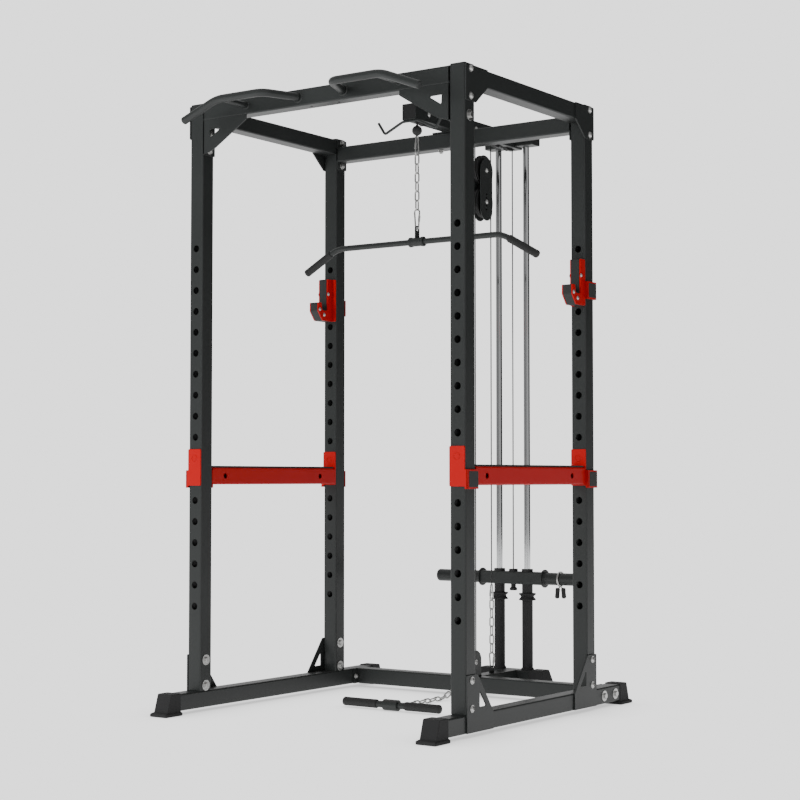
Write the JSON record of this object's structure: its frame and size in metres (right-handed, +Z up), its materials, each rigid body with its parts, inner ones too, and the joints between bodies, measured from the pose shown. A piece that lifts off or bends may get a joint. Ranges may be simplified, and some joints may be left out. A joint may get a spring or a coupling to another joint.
{
  "type": "power cage",
  "caption": "Free-standing steel power cage with hanging lat bar, floor row bar, weight carriage on guide rods behind, bar hooks, safety bars and pull-up handles.",
  "frame": {"origin": "centre of the footprint, on the floor", "axes": "+X to the right of a person who faces the cage from its open front, +Y to the rear where the cable tower is, +Z up"},
  "size_m": [1.2134, 1.516, 2.242],
  "materials": {
    "frame_paint": "black powder coat, satin",
    "red_paint": "red powder coat, satin",
    "foot_rubber": "moulded black rubber",
    "pulley_plastic": "black nylon",
    "guard_plastic": "black polyethylene guard",
    "cable_sheath": "black coated steel cable",
    "rod_chrome": "polished chrome plate",
    "zinc_steel": "bright zinc plate"
  },
  "bodies": {
    "cage": {"right_base_rail": "frame_paint", "left_base_rail": "frame_paint", "front_right_upright": "frame_paint", "front_left_upright": "frame_paint", "rear_right_upright": "frame_paint", "rear_left_upright": "frame_paint", "right_top_rail": "frame_paint", "left_top_rail": "frame_paint", "front_crossbeam": "frame_paint", "rear_crossbeam": "frame_paint", "lower_crossmember": "frame_paint", "right_front_foot": "foot_rubber", "left_front_foot": "foot_rubber", "right_rear_foot": "foot_rubber", "left_rear_foot": "foot_rubber", "right_pull_up_handle": "frame_paint", "left_pull_up_handle": "frame_paint", "boom": "frame_paint", "boom_front_cable": "cable_sheath", "boom_rear_cable": "cable_sheath", "low_cable": "cable_sheath", "upper_front_strand": "cable_sheath", "upper_rear_strand": "cable_sheath", "lower_front_strand": "cable_sheath", "lower_rear_strand": "cable_sheath", "tower_base": "frame_paint", "right_tower_foot": "foot_rubber", "left_tower_foot": "foot_rubber", "right_guide_rod": "rod_chrome", "left_guide_rod": "rod_chrome", "right_guide_sleeve": "foot_rubber", "left_guide_sleeve": "foot_rubber", "carriage_cable": "cable_sheath", "anchor_chain": "zinc_steel", "lat_drop_cable": "cable_sheath"},
    "carriage": {"carriage": "frame_paint", "right_weight_horn": "frame_paint", "left_weight_horn": "frame_paint"},
    "right_collar": {"right_spring_collar": "zinc_steel"},
    "left_collar": {"left_spring_collar": "zinc_steel"},
    "lat_bar": {"lat_bar": "frame_paint", "lat_chain": "zinc_steel"},
    "front_pulley": {"boom_front_pulley": "pulley_plastic"},
    "drop_pulley": {"boom_drop_pulley": "pulley_plastic"},
    "rise_pulley": {"boom_rise_pulley": "pulley_plastic"},
    "rear_pulley": {"boom_rear_pulley": "pulley_plastic"},
    "low_bar": {"low_bar": "frame_paint", "low_chain": "zinc_steel"},
    "floating_block": {"floating_block": "frame_paint"},
    "upper_pulley": {"upper_block_pulley": "pulley_plastic"},
    "lower_pulley": {"lower_block_pulley": "pulley_plastic"},
    "low_pulley": {"low_pulley": "pulley_plastic"},
    "right_hook": {"right_j_hook": "red_paint", "right_j_hook_liner": "guard_plastic"},
    "left_hook": {"left_j_hook": "red_paint", "left_j_hook_liner": "guard_plastic"},
    "right_safety": {"right_safety_bar": "red_paint", "right_safety_strip": "guard_plastic"},
    "left_safety": {"left_safety_bar": "red_paint", "left_safety_strip": "guard_plastic"}
  },
  "joints": [
    {"name": "carriage_lift", "type": "slide", "parent": "cage", "child": "carriage", "axis": [0, 0, 1], "range_m": [0, 1.05], "deforming": ["carriage_cable"]},
    {"name": "lat_bar_pull", "type": "slide", "parent": "cage", "child": "lat_bar", "axis": [0, 0, -1], "range_m": [0, 1.05], "deforming": ["lat_drop_cable"]},
    {"name": "front_pulley_spin", "type": "hinge", "parent": "cage", "child": "front_pulley", "pos_m": [0, 0.064, 2.202], "axis": [1, 0, 0], "range_deg": [-10, 1640]},
    {"name": "drop_pulley_spin", "type": "hinge", "parent": "cage", "child": "drop_pulley", "pos_m": [0, 0.393, 2.202], "axis": [1, 0, 0], "range_deg": [-10, 1640]},
    {"name": "rise_pulley_spin", "type": "hinge", "parent": "cage", "child": "rise_pulley", "pos_m": [0, 0.583, 2.202], "axis": [1, 0, 0], "range_deg": [-10, 1640]},
    {"name": "rear_pulley_spin", "type": "hinge", "parent": "cage", "child": "rear_pulley", "pos_m": [0, 0.675, 2.202], "axis": [1, 0, 0], "range_deg": [-10, 1640]},
    {"name": "upper_pulley_spin", "type": "hinge", "parent": "floating_block", "child": "upper_pulley", "pos_m": [0, 0.488, 2.054], "axis": [-1, 0, 0], "range_deg": [-10, 1050]},
    {"name": "low_bar_pull", "type": "slide", "parent": "cage", "child": "low_bar", "axis": [0, -1, 0], "range_m": [0, 0.6], "stiffness_N_per_m": 40, "springref_m": -0.6},
    {"name": "block_drop", "type": "slide", "parent": "cage", "child": "floating_block", "axis": [0, 0, -1], "range_m": [0, 0.3], "deforming": ["upper_front_strand", "upper_rear_strand", "lower_front_strand", "lower_rear_strand"]},
    {"name": "lower_pulley_spin", "type": "hinge", "parent": "floating_block", "child": "lower_pulley", "pos_m": [0, 0.488, 1.929], "axis": [1, 0, 0], "range_deg": [-10, 310]},
    {"name": "low_pulley_spin", "type": "hinge", "parent": "cage", "child": "low_pulley", "pos_m": [0, 0.393, 0.13], "axis": [-1, 0, 0], "range_deg": [-10, 940]},
    {"name": "right_hook_swing", "type": "hinge", "parent": "cage", "child": "right_hook", "pos_m": [0.5665, 0.238, 1.5968], "axis": [0, -1, 0], "range_deg": [0, 90]},
    {"name": "left_hook_swing", "type": "hinge", "parent": "cage", "child": "left_hook", "pos_m": [-0.5665, 0.238, 1.5968], "axis": [0, 1, 0], "range_deg": [0, 90]},
    {"name": "right_safety_swing", "type": "hinge", "parent": "cage", "child": "right_safety", "pos_m": [0.5665, -0.135, 0.911], "axis": [0, -1, 0], "range_deg": [0, 90]},
    {"name": "left_safety_swing", "type": "hinge", "parent": "cage", "child": "left_safety", "pos_m": [-0.5665, -0.135, 0.911], "axis": [0, 1, 0], "range_deg": [0, 90]},
    {"name": "right_collar_slide", "type": "slide", "parent": "carriage", "child": "right_collar", "axis": [1, 0, 0], "range_m": [-0.047, 0.12]},
    {"name": "left_collar_slide", "type": "slide", "parent": "carriage", "child": "left_collar", "axis": [-1, 0, 0], "range_m": [-0.047, 0.12]}
  ],
  "couplings": [
    {"joint": "lat_bar_pull", "follows": "carriage_lift", "ratio": 1},
    {"joint": "front_pulley_spin", "follows": "carriage_lift", "rad_per_m": 27.027},
    {"joint": "drop_pulley_spin", "follows": "carriage_lift", "rad_per_m": 27.027},
    {"joint": "rise_pulley_spin", "follows": "carriage_lift", "rad_per_m": 27.027},
    {"joint": "rear_pulley_spin", "follows": "carriage_lift", "rad_per_m": 27.027},
    {"joint": "upper_pulley_spin", "follows": "carriage_lift", "rad_per_m": 17.241},
    {"joint": "block_drop", "follows": "low_bar_pull", "ratio": 0.5},
    {"joint": "lower_pulley_spin", "follows": "low_bar_pull", "rad_per_m": 8.621},
    {"joint": "low_pulley_spin", "follows": "low_bar_pull", "rad_per_m": 27.027}
  ]
}
